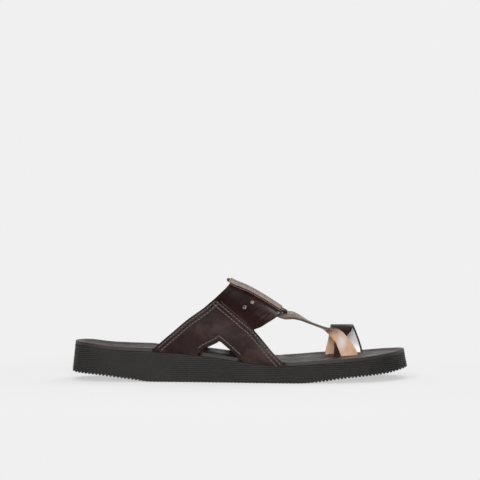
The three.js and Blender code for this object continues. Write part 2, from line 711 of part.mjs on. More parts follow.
const sandal = new THREE.Group();
function place(name, solid, look) {
  const mesh = new THREE.Mesh(geometryOf(solid), new THREE.MeshStandardMaterial(look));
  mesh.name = name;
  mesh.position.set(-LENGTH / 2, 0, 0);
  sandal.add(mesh);
}

place("outsole", outsoleSolid(), RUBBER);
place("insole", seatedInsoleSolid(), FOOTBED);
place("upper", upperSolid(), LEATHER);
place("buckle_frame", buckleFrameSolid(), GUNMETAL);
place("buckle_pin", bucklePinSolid(), GUNMETAL);
for (const rivet of RIVETS) place(rivet.name, rivetSolid(rivet), STEEL);

export default sandal;
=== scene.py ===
import math

import bmesh
import bpy
import numpy as np
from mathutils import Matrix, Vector


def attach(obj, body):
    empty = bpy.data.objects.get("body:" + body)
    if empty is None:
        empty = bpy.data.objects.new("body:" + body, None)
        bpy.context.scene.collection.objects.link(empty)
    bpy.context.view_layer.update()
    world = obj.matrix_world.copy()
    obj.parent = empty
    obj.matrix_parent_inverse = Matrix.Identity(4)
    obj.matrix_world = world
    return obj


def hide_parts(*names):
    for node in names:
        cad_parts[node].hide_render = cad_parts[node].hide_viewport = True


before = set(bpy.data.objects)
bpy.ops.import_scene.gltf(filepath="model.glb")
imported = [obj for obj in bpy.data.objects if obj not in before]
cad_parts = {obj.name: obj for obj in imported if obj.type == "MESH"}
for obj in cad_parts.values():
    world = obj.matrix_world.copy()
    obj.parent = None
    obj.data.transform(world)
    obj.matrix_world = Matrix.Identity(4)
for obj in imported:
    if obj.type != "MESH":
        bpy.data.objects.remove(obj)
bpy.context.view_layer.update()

MM = 0.001

# Sizes of the shoe in millimetres, the same as the frame's: x from the heel, y to the inner side, z up
LENGTH = 290
BALL_WIDTH = 100
HEEL_HEIGHT = 28.5
INSTEP_HEIGHT = 80
RING_HEIGHT = 45.2
GAP = 0.3
INSOLE_THICKNESS = 3.2
SOLE_FLARE = 2.4
INSOLE_SETBACK = 0.5
CUP_DEPTH = 1.4
CUP_WIDTH = 9
WALL = 2.4
PANEL_STEP = 1.2
UPPER_SETBACK = 2.2
LEAN = 0.075
OUTER_SIDE = -0.4 * BALL_WIDTH
STRAP_THICKNESS = 2.0
RING_THICKNESS = 2.2
BILLET_THICKNESS = 2.4
BILLET_TAIL = 9
BILLET_END = 0.84
BILLET_END_STEP = 0.5
BAR_DIAMETER = 3.2
BUCKLE_OVERHANG = 2.0
BUCKLE_CORNER = 3
HINGE_BAR_ACROSS = -4.5
HINGE_BAR_RISE = 0.4
FAR_BAR_ACROSS = 15.5

# Fine detail that only this scene has
RIB_PITCH = 1.68
RIB_DEPTH = 0.85
TOOTH_PITCH = 3.1
TOOTH_DEPTH = 1.5
STITCH_LENGTH = 2.0
STITCH_PITCH = 3.0
STITCH_RADIUS = 0.5
HOLE_RADIUS = 0.85

# Painted shade in the dimples of the rivets: along as a share of the length, turn, radius in millimetres
RIVET_DIMPLE_SHADES = ((0.5115, 0.27, 1.15), (0.5343, 0.33, 0.65))
RIVET_TOP = 1.34

OUTLINE_COLUMNS = ("along", "outer", "inner")
OUTLINE = (
    (0.0, 0.0, 0.0),
    (0.01, -0.14, 0.14),
    (0.035, -0.24, 0.24),
    (0.085, -0.305, 0.305),
    (0.155, -0.335, 0.33),
    (0.26, -0.35, 0.325),
    (0.36, -0.38, 0.32),
    (0.465, -0.425, 0.34),
    (0.57, -0.475, 0.405),
    (0.655, -0.5, 0.465),
    (0.725, -0.495, 0.5),
    (0.81, -0.45, 0.495),
    (0.88, -0.37, 0.46),
    (0.93, -0.265, 0.41),
    (0.965, -0.15, 0.355),
    (0.99, -0.005, 0.275),
    (1.0, 0.14, 0.14),
)
PROFILE_COLUMNS = ("along", "rim", "ground")
PROFILE = (
    (0.0, 1.17, 0.245),
    (0.05, 1.14, 0.215),
    (0.11, 1.055, 0.16),
    (0.17, 1.02, 0.08),
    (0.22, 1.005, 0.015),
    (0.245, 0.993, 0.0),
    (0.32, 0.95, 0.0),
    (0.38, 0.885, 0.0),
    (0.44, 0.81, 0.0),
    (0.495, 0.73, 0.0),
    (0.56, 0.645, 0.0),
    (0.625, 0.61, 0.0),
    (0.675, 0.63, 0.0),
    (0.74, 0.675, 0.05),
    (0.8, 0.705, 0.125),
    (0.865, 0.745, 0.175),
    (0.93, 0.815, 0.225),
    (0.965, 0.85, 0.28),
    (1.0, 0.89, 0.33),
)
INSTEP_COLUMNS = ("along", "ridge")
INSTEP = (
    (0.2, 1.42),
    (0.36, 1.235),
    (0.486, 1.008),
    (0.52, 0.957),
    (0.555, 0.888),
    (0.59, 0.81),
    (0.628, 0.7225),
    (0.72, 0.575),
)

# Side outlines of the upper on its outer side: along as a share of the length, up as a share of the
# instep height. They lean down towards the inner side.
REAR_EDGE = (
    (0.2052, 0.2273), (0.2415, 0.3431), (0.274, 0.4484), (0.3019, 0.5327), (0.3431, 0.659), (0.3921, 0.7853),
    (0.4098, 0.839),
)
STRAP_REAR_TOP = (0.4753, 1.07)
STRAP_FRONT_EDGE = (
    (0.6332, 0.78), (0.623, 0.7558), (0.6027, 0.7053), (0.5853, 0.6653), (0.5621, 0.6106), (0.536, 0.5611),
)
FRONT_EDGE = (
    (0.536, 0.5611), (0.5528, 0.4906), (0.5723, 0.4063), (0.5914, 0.3221), (0.6051, 0.2694), (0.6202, 0.2083),
    (0.6347, 0.1483),
)
PANEL_TOP = ((0.4275, 0.8926), (0.4452, 0.8358))
SEAM_TOP = (0.4285, 0.8865)
WINDOW_REAR = ((0.36, 0.13), (0.3813, 0.3242), (0.4301, 0.4295), (0.4362, 0.4432))
WINDOW_FRONT = ((0.4362, 0.4432), (0.442, 0.4284), (0.4939, 0.2621), (0.53, 0.13))

TOE_STRAP_COLUMNS = ("along", "across", "above", "width", "crown", "roll")
TOE_STRAP = (
    (0.586, 0.01, 0.802, 0.3, 0.05, 0),
    (0.628, 0.01, 0.722, 0.29, 0.045, 2),
    (0.655, 0.01, 0.708, 0.24, 0.036, 4),
    (0.679, 0.012, 0.663, 0.18, 0.016, 3),
    (0.7, 0.016, 0.615, 0.13, 0.005, 0),
    (0.728, 0.025, 0.57, 0.11, 0.002, -4),
    (0.752, 0.04, 0.535, 0.1, 0, -9),
    (0.768, 0.052, 0.511, 0.1, 0, -32),
    (0.781, 0.064, 0.484, 0.102, 0, -62),
    (0.792, 0.072, 0.448, 0.108, 0, -80),
    (0.8015, 0.078, 0.407, 0.114, 0, -88),
    (0.81, 0.082, 0.354, 0.128, 0, -90),
    (0.8195, 0.085, 0.29, 0.14, 0, -90),
    (0.826, 0.087, 0.24, 0.14, 0, -90),
    (0.829, 0.088, 0.19, 0.14, 0, -90),
)
TOE_RING_COLUMNS = ("along", "across", "above", "width")
TOE_RING = (
    (0.8145, 0.365, 0.38, 0.33),
    (0.8145, 0.376, 0.5, 0.32),
    (0.8135, 0.381, 0.64, 0.285),
    (0.8115, 0.373, 0.775, 0.25),
    (0.809, 0.347, 0.895, 0.22),
    (0.807, 0.3, 0.962, 0.2),
    (0.8055, 0.25, 0.975, 0.195),
    (0.8055, 0.2, 0.96, 0.19),
    (0.8045, 0.163, 0.91, 0.165),
    (0.802, 0.138, 0.84, 0.12),
    (0.7985, 0.119, 0.74, 0.09),
    (0.7955, 0.108, 0.6, 0.085),
    (0.7945, 0.105, 0.47, 0.085),
    (0.7945, 0.105, 0.35, 0.085),
)


# Shape of the shoe
def look_up(rows, columns, column, along, spread=lambda share: share):
    """Smooth value of a table's column at shares of the length; spread sets the spacing it is smooth in."""
    table = np.array(rows)
    key = spread(table[:, 0])
    value = table[:, columns.index(column)]
    slope = np.empty(len(key))
    slope[1:-1] = (value[2:] - value[:-2]) / (key[2:] - key[:-2])
    slope[0] = (value[1] - value[0]) / (key[1] - key[0])
    slope[-1] = (value[-1] - value[-2]) / (key[-1] - key[-2])
    t = spread(np.clip(np.asarray(along, float), table[0, 0], table[-1, 0]))
    i = np.clip(np.searchsorted(key, t) - 1, 0, len(key) - 2)
    step = key[i + 1] - key[i]
    u = (t - key[i]) / step
    cubic = u * u * (3 - 2 * u)
    rise = slope[i] * step * u * (1 - u) ** 2
    fall = slope[i + 1] * step * u * u * (1 - u)
    return value[i] + (value[i + 1] - value[i]) * cubic + rise - fall


def round_ends(share):
    return np.arccos(np.clip(1 - 2 * np.asarray(share, float), -1, 1))


def outer_edge(x):
    return BALL_WIDTH * look_up(OUTLINE, OUTLINE_COLUMNS, "outer", np.asarray(x) / LENGTH, round_ends)


def inner_edge(x):
    return BALL_WIDTH * look_up(OUTLINE, OUTLINE_COLUMNS, "inner", np.asarray(x) / LENGTH, round_ends)


def rim_height(x):
    return HEEL_HEIGHT * look_up(PROFILE, PROFILE_COLUMNS, "rim", np.asarray(x) / LENGTH)


def ground_height(x):
    return np.maximum(0, HEEL_HEIGHT * look_up(PROFILE, PROFILE_COLUMNS, "ground", np.asarray(x) / LENGTH))


def outsole_top(x):
    return rim_height(x) - INSOLE_THICKNESS - GAP


def ridge_height(x):
    return INSTEP_HEIGHT * look_up(INSTEP, INSTEP_COLUMNS, "ridge", np.asarray(x) / LENGTH)


def smooth_step(low, high, value):
    t = np.clip((value - low) / (high - low), 0, 1)
    return t * t * (3 - 2 * t)


def last_section(x):
    outer = outer_edge(x) + SOLE_FLARE + UPPER_SETBACK
    inner = inner_edge(x) - SOLE_FLARE - UPPER_SETBACK
    foot = outsole_top(x) + GAP
    return (outer + inner) / 2, (inner - outer) / 2, foot, ridge_height(x) - foot


def last_point(x, turn, offset):
    """Point on the last: turn is 0 at the outer edge, 0.5 on the ridge and 1 at the inner edge."""
    x, turn, offset = np.broadcast_arrays(*(np.asarray(v, float) for v in (x, turn, offset)))
    middle, half_width, foot, height = last_section(x)
    across, up = -np.cos(math.pi * turn), np.sin(math.pi * turn)
    normal = np.stack([across / half_width, up / height])
    normal = normal / np.linalg.norm(normal, axis=0)
    y = middle + half_width * across + normal[0] * offset
    z = foot + height * up + normal[1] * offset
    return np.stack([x, y, z], axis=-1)


def turn_across(x, across):
    """The turn at which the last's surface lies across mm to the inner side of its middle."""
    return np.arccos(np.clip(-across / last_section(x)[1], -1, 1)) / math.pi


def edge_in_turns(rows, samples=160):
    """A side outline as the turns and x where it crosses the last: the outer side, then the inner side."""
    rows = np.array(rows)
    spot = np.concatenate([[0], np.cumsum(np.hypot(*np.diff(rows * [LENGTH, INSTEP_HEIGHT], axis=0).T))])
    table = np.column_stack([spot, rows])
    t = np.linspace(0, spot[-1], samples)
    x = LENGTH * look_up(table, ("spot", "along", "up"), "along", t)
    z = INSTEP_HEIGHT * look_up(table, ("spot", "along", "up"), "up", t)
    middle, half_width, foot, height = last_section(x)
    swing = np.hypot(height, LEAN * half_width)
    tilt = np.arctan2(LEAN * half_width, height)
    rise = (z - foot - LEAN * (middle - OUTER_SIDE)) / swing
    meets = abs(rise) < 1
    bend = np.arcsin(rise[meets])
    turn = np.concatenate([bend + tilt[meets], math.pi - bend + tilt[meets]]) / math.pi
    order = np.argsort(turn)
    return turn[order], np.concatenate([x[meets], x[meets]])[order]


def x_on_edge(edge, turn):
    return np.interp(turn, edge[0], edge[1])


def tops_of(edge):
    """The turns where an outline that stays below the ridge ends, on the outer and the inner side."""
    gap = int(np.argmax(np.diff(edge[0])))
    return float(edge[0][gap]), float(edge[0][gap + 1])


def joined(*edges):
    turn, x = (np.concatenate(parts) for parts in zip(*edges))
    order = np.argsort(turn)
    return turn[order], x[order]


def lower_tops(first, second):
    (outer, inner), (other_outer, other_inner) = tops_of(first), tops_of(second)
    return min(outer, other_outer), max(inner, other_inner)


REAR = edge_in_turns(REAR_EDGE + (STRAP_REAR_TOP,))
FRONT = edge_in_turns(STRAP_FRONT_EDGE + FRONT_EDGE[1:])
PANEL_REAR = edge_in_turns(REAR_EDGE + PANEL_TOP[:1])
PANEL_FRONT = joined(edge_in_turns(FRONT_EDGE), edge_in_turns((PANEL_TOP[1], FRONT_EDGE[0])))
PANEL_SEAM = joined(edge_in_turns(FRONT_EDGE), edge_in_turns((SEAM_TOP, FRONT_EDGE[0])))
OPEN_REAR = edge_in_turns(WINDOW_REAR)
OPEN_FRONT = edge_in_turns(WINDOW_FRONT)
WINDOW_TOPS = lower_tops(OPEN_REAR, OPEN_FRONT)
PANEL_TOPS = lower_tops(PANEL_REAR, PANEL_FRONT)


def beside_window(turn):
    return turn < WINDOW_TOPS[0] or turn > WINDOW_TOPS[1]


# Making pieces
def new_piece(name, points, faces, materials, face_materials=None, smooth=True):
    mesh = bpy.data.meshes.new(name)
    moved = np.asarray(points, float) - [LENGTH / 2, 0, 0]
    mesh.from_pydata((moved * MM).tolist(), [], [tuple(int(i) for i in face) for face in faces])
    for material in materials:
        mesh.materials.append(material)
    if face_materials is not None:
        mesh.polygons.foreach_set("material_index", np.asarray(face_materials, np.int32))
    mesh.polygons.foreach_set("use_smooth", [smooth] * len(mesh.polygons))
    mesh.validate()
    mesh.update()
    piece = bpy.data.objects.new(name, mesh)
    bpy.context.scene.collection.objects.link(piece)
    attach(piece, "root")
    return piece


def merge_doubles(piece, distance=1e-6):
    work = bmesh.new()
    work.from_mesh(piece.data)
    bmesh.ops.remove_doubles(work, verts=work.verts, dist=distance)
    bmesh.ops.recalc_face_normals(work, faces=work.faces)
    work.to_mesh(piece.data)
    work.free()
    piece.data.polygons.foreach_set("use_smooth", [True] * len(piece.data.polygons))


def thicken(piece, thickness, rim_material=0, bevel=0.35, inner_material=0):
    """Gives an open surface its thickness below it and rounds the edges of its rim."""
    solid = piece.modifiers.new("thickness", "SOLIDIFY")
    solid.thickness = thickness * MM
    solid.offset = -1
    solid.use_even_offset = True
    solid.use_quality_normals = True
    solid.material_offset_rim = rim_material
    solid.material_offset = inner_material
    round_edges(piece, bevel)


def round_edges(piece, width, segments=3):
    bevel = piece.modifiers.new("edges", "BEVEL")
    bevel.width = width * MM
    bevel.segments = segments
    bevel.limit_method = "ANGLE"
    bevel.angle_limit = math.radians(50)
    bevel.harden_normals = False
    weighted = piece.modifiers.new("normals", "WEIGHTED_NORMAL")
    weighted.keep_sharp = False


def grid_faces(rows, columns, skip=None, first=0):
    faces = []
    for row in range(rows - 1):
        for column in range(columns - 1):
            if skip is not None and skip(row, column):
                continue
            a = first + row * columns + column
            faces.append((a, a + 1, a + 1 + columns, a + columns))
    return faces


# Materials
class Nodes:
    """A material under construction: named inputs and short calls for its nodes."""

    def __init__(self, name):
        self.material = bpy.data.materials.new(name)
        self.material.use_nodes = True
        self.tree = self.material.node_tree
        self.shader = self.tree.nodes["Principled BSDF"]
        self.place = self.add("ShaderNodeTexCoord").outputs["Object"]

    def add(self, kind, inputs=None, **settings):
        node = self.tree.nodes.new(kind)
        for key, value in settings.items():
            setattr(node, key, value)
        for key, value in (inputs or {}).items():
            if isinstance(value, bpy.types.NodeSocket):
                self.tree.links.new(value, node.inputs[key])
            else:
                node.inputs[key].default_value = value
        return node

    def noise(self, scale, detail=4, rough=0.55, stretch=(1, 1, 1)):
        place = self.add("ShaderNodeMapping", {"Vector": self.place, "Scale": stretch}).outputs[0]
        inputs = {"Vector": place, "Scale": scale, "Detail": detail, "Roughness": rough}
        return self.add("ShaderNodeTexNoise", inputs).outputs["Fac"]

    def cells(self, scale, feature="F1", stretch=(1, 1, 1)):
        place = self.add("ShaderNodeMapping", {"Vector": self.place, "Scale": stretch}).outputs[0]
        inputs = {"Vector": place, "Scale": scale}
        return self.add("ShaderNodeTexVoronoi", inputs, feature=feature).outputs["Distance"]

    def ramp(self, value, *stops):
        node = self.add("ShaderNodeValToRGB", {"Fac": value})
        while len(node.color_ramp.elements) < len(stops):
            node.color_ramp.elements.new(0.5)
        for element, (position, colour) in zip(node.color_ramp.elements, stops):
            element.position = position
            element.color = (*colour, 1) if isinstance(colour, tuple) else (colour, colour, colour, 1)
        return node.outputs["Color"]

    def maths(self, operation, a, b=0.0):
        node = self.tree.nodes.new("ShaderNodeMath")
        node.operation = operation
        for socket, value in zip(node.inputs, (a, b)):
            if isinstance(value, bpy.types.NodeSocket):
                self.tree.links.new(value, socket)
            else:
                socket.default_value = value
        return node.outputs[0]

    def mix(self, factor, a, b, blend="MIX"):
        node = self.add("ShaderNodeMix", data_type="RGBA", blend_type=blend)
        for key, value in (("Factor", factor), ("A", a), ("B", b)):
            socket = next(s for s in node.inputs if s.name == key and s.enabled)
            if isinstance(value, bpy.types.NodeSocket):
                self.tree.links.new(value, socket)
            elif key == "Factor":
                socket.default_value = value
            else:
                socket.default_value = (*value, 1)
        return next(s for s in node.outputs if s.enabled)

    def bump(self, height, distance, strength=1.0, below=None):
        inputs = {"Height": height, "Distance": distance * MM, "Strength": strength}
        if below is not None:
            inputs["Normal"] = below
        return self.add("ShaderNodeBump", inputs).outputs[0]

    def finish(self, **inputs):
        for key, value in inputs.items():
            socket = self.shader.inputs[key.replace("_", " ")]
            if isinstance(value, bpy.types.NodeSocket):
                self.tree.links.new(value, socket)
            else:
                socket.default_value = value
        return self.material


def leather(name, dark, light, grain=900, gloss=(0.26, 0.44), coat=0.35, relief=0.1, shine=0.3, rub_and_sheen=0.7):
    """Waxed grain leather: cloudy colour, paler rubbed spots that also stand in for painted sheen, fine pores
    and a coat of polish.
    """
    m = Nodes(name)
    cloud = m.noise(38, 5)
    base = m.ramp(cloud, (0.35, dark), (0.68, light))
    # Paler patches at random: partly rubbed wear, partly painted sheen
    rubbed_and_sheen = m.ramp(m.noise(26, 7, 0.7, (1, 1, 1.6)), (0.5, 0.0), (0.66, rub_and_sheen))
    colour = m.mix(rubbed_and_sheen, base, (2.4 * light[0], 3.1 * light[1], 3.2 * light[2]))
    pores = m.cells(grain, "DISTANCE_TO_EDGE")
    folds = m.noise(420, 6, 0.65)
    height = m.maths("ADD", m.maths("MULTIPLY", pores, 0.6), m.maths("MULTIPLY", folds, 0.8))
    rough = m.ramp(m.noise(48, 6, 0.65), (0.32, gloss[0]), (0.68, gloss[1]))
    return m.finish(
        Base_Color=colour,
        Roughness=rough,
        Specular_IOR_Level=shine,
        Coat_Weight=coat,
        Coat_Roughness=0.22,
        Normal=m.bump(height, relief, 0.55, m.bump(m.noise(70, 3), 0.25, 0.35)),
    )


# Painted glare, near white, in millimetres from the shoe's middle: on the toe ring from here to the toe, and on
# the toe strap at a spot, whose second number is its height
PAINTED_GLARE_FROM = 87.5
PAINTED_GLARE_SPOT = (87.5, 31.0)


def flesh(name, dark, light, gloss=0.42, painted_glare=None, spot=False):
    """The flesh side of vegetable tanned leather: tan, fibrous, faintly cloudy."""
    m = Nodes(name)
    cloud = m.noise(120, 6, 0.6)
    fibre = m.noise(900, 5, 0.7, (1, 1, 0.25))
    base = m.ramp(cloud, (0.32, dark), (0.7, light))
    coat = 0.1
    # Painted glare: inside the mask the colour turns near white, and a coat is added
    if painted_glare is not None:
        axes = m.add("ShaderNodeSeparateXYZ", {"Vector": m.place}).outputs
        inputs = {"Value": axes["X"], "From Min": PAINTED_GLARE_FROM * MM, "From Max": (PAINTED_GLARE_FROM + 2.5) * MM}
        if spot:
            centre = (PAINTED_GLARE_SPOT[0] * MM, 0, PAINTED_GLARE_SPOT[1] * MM)
            off = m.add("ShaderNodeVectorMath", {0: m.place, 1: centre}, operation="SUBTRACT")
            flat = m.add("ShaderNodeVectorMath", {0: off.outputs[0], 1: (1.25, 0, 0.6)}, operation="MULTIPLY")
            gap = m.add("ShaderNodeVectorMath", {0: flat.outputs[0]}, operation="LENGTH").outputs["Value"]
            inputs = {"Value": gap, "From Min": 6.5 * MM, "From Max": 1.0 * MM}
        mask = m.add("ShaderNodeMapRange", inputs).outputs[0]
        base = m.mix(mask, base, painted_glare)
        coat = m.maths("MULTIPLY", mask, 0.9)
    colour = m.mix(m.maths("MULTIPLY", fibre, 0.35), base, tuple(0.55 * c for c in dark))
    return m.finish(
        Base_Color=colour,
        Roughness=m.ramp(fibre, (0.3, gloss - 0.1), (0.8, gloss + 0.15)),
        Coat_Weight=coat,
        Coat_Roughness=0.25,
        Normal=m.bump(fibre, 0.12, 0.5),
    )


def cut_edge(name, dark, light):
    """A cut edge of leather with its fibres lying in layers."""
    m = Nodes(name)
    layers = m.noise(500, 4, 0.6, (1, 1, 3))
    return m.finish(
        Base_Color=m.ramp(layers, (0.35, dark), (0.7, light)),
        Roughness=0.6,
        Normal=m.bump(layers, 0.12, 0.6),
    )


def rubber():
    """Microcellular rubber: near black, matt, with fine pores and a faintly cloudy tone."""
    m = Nodes("rubber")
    cells = m.noise(2600, 3, 0.6)
    cloud = m.noise(60, 5)
    colour = m.ramp(cloud, (0.3, (0.013, 0.0122, 0.0112)), (0.75, (0.025, 0.0238, 0.022)))
    return m.finish(
        Base_Color=colour,
        Roughness=m.ramp(cloud, (0.3, 0.62), (0.8, 0.8)),
        Specular_IOR_Level=0.3,
        Normal=m.bump(cells, 0.1, 0.5),
    )


def metal(name, colour, rough):
    m = Nodes(name)
    scratch = m.noise(700, 4, 0.6, (1, 6, 1))
    return m.finish(
        Base_Color=m.ramp(scratch, (0.3, tuple(0.8 * c for c in colour)), (0.75, colour)),
        Metallic=1.0,
        Roughness=m.ramp(scratch, (0.3, rough), (0.8, rough + 0.15)),
        Normal=m.bump(scratch, 0.03, 0.3),
    )


def thread():
    m = Nodes("thread")
    twist = m.noise(1500, 3, 0.6, (1, 1, 1))
    return m.finish(
        Base_Color=m.ramp(twist, (0.3, (0.08, 0.053, 0.047)), (0.75, (0.19, 0.137, 0.122))),
        Roughness=0.7,
        Normal=m.bump(twist, 0.08, 0.6),
    )


GRAIN = leather(
    "strap_grain", (0.006, 0.0018, 0.0015), (0.021, 0.0078, 0.0066), gloss=(0.22, 0.62), coat=0.03, shine=0.07
)
PANEL_GRAIN = leather(
    "panel_grain", (0.007, 0.0024, 0.0020), (0.022, 0.0088, 0.0078), gloss=(0.22, 0.58), coat=0.05, shine=0.1
)
LINING = leather("lining", (0.055, 0.030, 0.024), (0.095, 0.055, 0.045), gloss=(0.45, 0.65), coat=0.05)
EDGE_DARK = cut_edge("edge_dark", (0.012, 0.008, 0.007), (0.024, 0.016, 0.014))
EDGE_RAW = cut_edge("edge_raw", (0.24, 0.165, 0.135), (0.42, 0.31, 0.265))
# Cut edge lightened as painted highlight: the fold lip's edge and the toe strap's edges
EDGE_LIP_PAINTED_HIGHLIGHT = cut_edge("edge_lip_painted_highlight", (0.06, 0.042, 0.036), (0.12, 0.085, 0.075))
# Flesh of the toe strap, with a spot of painted glare
FLESH = flesh(
    "flesh", (0.60, 0.32, 0.18), (0.90, 0.60, 0.41), gloss=0.28, painted_glare=(0.92, 0.86, 0.80), spot=True
)
# Flesh of the toe ring, painted glare near white from its front part to the toe
FLESH_PAINTED_GLARE = flesh(
    "flesh_painted_glare", (0.56, 0.29, 0.155), (0.84, 0.54, 0.35), gloss=0.5, painted_glare=(1.0, 0.97, 0.98)
)
FOOTBED = leather(
    "footbed_leather", (0.013, 0.0072, 0.0062), (0.027, 0.0158, 0.014), grain=700, gloss=(0.38, 0.66), coat=0.0,
    shine=0.12, rub_and_sheen=0.2,
)
RUBBER = rubber()
GUNMETAL = metal("gunmetal", (0.13, 0.12, 0.11), 0.38)
STEEL = metal("steel", (0.30, 0.26, 0.23), 0.45)
THREAD = thread()
# Near black: painted shade in the stitch holes and the rivets' dimples
HOLE_SHADE = cut_edge("stitch_hole_shade", (0.003, 0.002, 0.002), (0.006, 0.004, 0.004))
SATIN = leather(
    "satin_grain", (0.020, 0.0105, 0.009), (0.045, 0.025, 0.022), gloss=(0.45, 0.6), coat=0.02, relief=0.03,
    shine=0.2,
)
# Grain leather paler than the straps' grain: painted sheen on the toe strap and the fold lip
TOE_GRAIN_PAINTED_SHEEN = leather(
    "toe_strap_grain_painted_sheen", (0.055, 0.032, 0.024), (0.115, 0.070, 0.056), gloss=(0.4, 0.6), coat=0.05, relief=0.03,
    shine=0.2,
)


# Outsole and footbed
def outline_loop(stations, inset):
    """Sole outline drawn in by an inset: outer side from heel to toe, then back along the inner side."""
    phase = np.pi * np.arange(stations + 1) / stations
    x = LENGTH * (1 - np.cos(phase)) / 2
    outer = np.column_stack([x, outer_edge(x)])
    inner = np.column_stack([x, inner_edge(x)])[-2:0:-1]
    loop = np.concatenate([outer, inner])
    along = np.roll(loop, -1, axis=0) - np.roll(loop, 1, axis=0)
    along = along / np.linalg.norm(along, axis=1, keepdims=True)
    inset = np.broadcast_to(inset, len(loop))[:, None]
    return loop + np.column_stack([-along[:, 1], along[:, 0]]) * inset


def wave(value, pitch):
    """0 on the crest and 1 in the valley of a rounded rib."""
    phase = np.mod(value / pitch, 1)
    return smooth_step(0.45, 0.7, phase) * (1 - smooth_step(0.8, 1.0, phase))


def make_outsole():
    stations, levels = 520, 58
    count = 2 * stations
    flat = outline_loop(stations, 0)
    ground = ground_height(flat[:, 0])
    teeth = TOOTH_DEPTH * wave(flat[:, 0], TOOTH_PITCH) * (0.2 + 0.8 * smooth_step(0, 1.6, ground))
    bottom = ground + teeth
    top = outsole_top(flat[:, 0])
    loops = []
    for level in range(levels + 1):
        share = level / levels
        z = bottom + (top - bottom) * share
        near_rim = smooth_step(0, 1.2, top - z)
        near_floor = smooth_step(0, 1.0, z - bottom)
        ribs = RIB_DEPTH * wave(z, RIB_PITCH) * near_rim * near_floor
        shoulder = 0.6 * (1 - near_floor) ** 2
        xy = outline_loop(stations, share * SOLE_FLARE + ribs + shoulder)
        loops.append(np.column_stack([xy, z]))
    points = np.concatenate(loops)
    faces = []
    for level in range(levels):
        a = level * count
        for i in range(count):
            j = (i + 1) % count
            faces.append((a + i, a + j, a + count + j, a + count + i))
    top_first = levels * count
    for i in range(1, stations - 1):
        faces.append((i, count - i, count - i - 1, i + 1))
        faces.append((top_first + i, top_first + i + 1, top_first + count - i - 1, top_first + count - i))
    faces.append((0, count - 1, 1))
    faces.append((top_first, top_first + 1, top_first + count - 1))
    last = stations
    faces.append((last - 1, last + 1, last))
    faces.append((top_first + last - 1, top_first + last, top_first + last + 1))
    piece = new_piece("sole_rubber", points, faces, [RUBBER])
    merge_doubles(piece)
    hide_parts("outsole")


LEG_NOTCH = WALL + 1.4


def leg_notch(x):
    """How far the footbed's edge draws in to let the legs of the upper pass."""
    foot_x = [float(x_on_edge(edge, 0.012)) for edge in (REAR, OPEN_REAR, OPEN_FRONT, FRONT)]
    depth = np.zeros(len(x))
    for start, end in ((foot_x[0], foot_x[1]), (foot_x[2], foot_x[3])):
        depth += smooth_step(start - 1.2, start, x) * (1 - smooth_step(end, end + 1.2, x))
    return LEG_NOTCH * depth


# Creases across the footbed behind the toes: x at the outer and inner end, in millimetres, and depth
FOOTBED_CREASES = ((183, 189, 0.6), (187.5, 192, 0.35), (212, 217, 0.7), (216.5, 220, 0.3), (199, 204, 0.3))


def footbed_drop(x, y, edge_distance):
    cup = CUP_DEPTH * smooth_step(0, CUP_WIDTH, edge_distance)
    share = (y + 50) / 100
    creases = sum(
        depth * np.exp(-(((x - start - (end - start) * share) / 0.9) ** 2))
        for start, end, depth in FOOTBED_CREASES
    )
    heel = 0.8 * np.exp(-(((x - 38) / 26) ** 2) - ((y / 20) ** 2))
    ball = 0.7 * np.exp(-(((x - 205) / 24) ** 2) - (((y - 6) / 30) ** 2))
    return cup + (creases + heel + ball) * smooth_step(2, 14, edge_distance)


def make_footbed():
    stations, columns = 260, 46
    edge = SOLE_FLARE + INSOLE_SETBACK
    bare = outline_loop(stations, edge)
    loop = outline_loop(stations, edge + leg_notch(bare[:, 0]))
    outer = loop[: stations + 1]
    inner = np.concatenate([loop[:1], loop[:stations - 1:-1]])
    spread = (1 - np.cos(np.pi * np.linspace(0, 1, columns))) / 2
    grid = outer[:, None] + (inner - outer)[:, None] * spread[None, :, None]
    x, y = grid[..., 0], grid[..., 1]
    width = np.linalg.norm(inner - outer, axis=1)[:, None]
    sideways = width * np.minimum(spread, 1 - spread)[None]
    lengthways = np.minimum(x - x.min(), x.max() - x)
    distance = np.minimum(sideways, lengthways)
    z = rim_height(x) - footbed_drop(x, y, distance)
    points = np.stack([x, y, z], axis=-1).reshape(-1, 3)
    faces = grid_faces(stations + 1, columns)
    piece = new_piece("footbed", points, faces, [FOOTBED, EDGE_DARK])
    merge_doubles(piece, 2e-5)
    up = sum(polygon.normal.z for polygon in piece.data.polygons)
    if up < 0:
        piece.data.flip_normals()
    thicken(piece, INSOLE_THICKNESS - 0.2, rim_material=1, bevel=0.6)
    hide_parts("insole")


# Upper: sheets of leather on the last
CREASES = (
    # x and turn at both ends, depth, half width
    (160.5, 0.235, 168.0, 0.315, 0.45, 0.75),
    (165.0, 0.25, 171.5, 0.33, 0.35, 0.65),
    (157.0, 0.27, 163.0, 0.335, 0.22, 0.7),
    (150.0, 0.20, 159.0, 0.285, 0.22, 1.3),
    (143.0, 0.27, 148.0, 0.35, 0.15, 1.6),
    (133.0, 0.26, 140.0, 0.40, 0.25, 1.8),
)


def crease_depth(x, turn, mirrored=False):
    """Soft troughs that the leather keeps from bending, in millimetres below its surface."""
    turn = 1 - turn if mirrored else turn
    per_turn = 115.0
    depth = np.zeros(np.shape(x))
    for x1, t1, x2, t2, deep, wide in CREASES:
        ax, ay, bx, by = x1, t1 * per_turn, x2, t2 * per_turn
        px, py = x - ax, turn * per_turn - ay
        length2 = (bx - ax) ** 2 + (by - ay) ** 2
        s = np.clip((px * (bx - ax) + py * (by - ay)) / length2, 0, 1)
        gap = np.hypot(px - s * (bx - ax), py - s * (by - ay))
        depth += deep * np.exp(-((gap / wide) ** 2)) * np.sin(np.pi * np.clip(s, 0.02, 0.98)) ** 0.5
    return depth


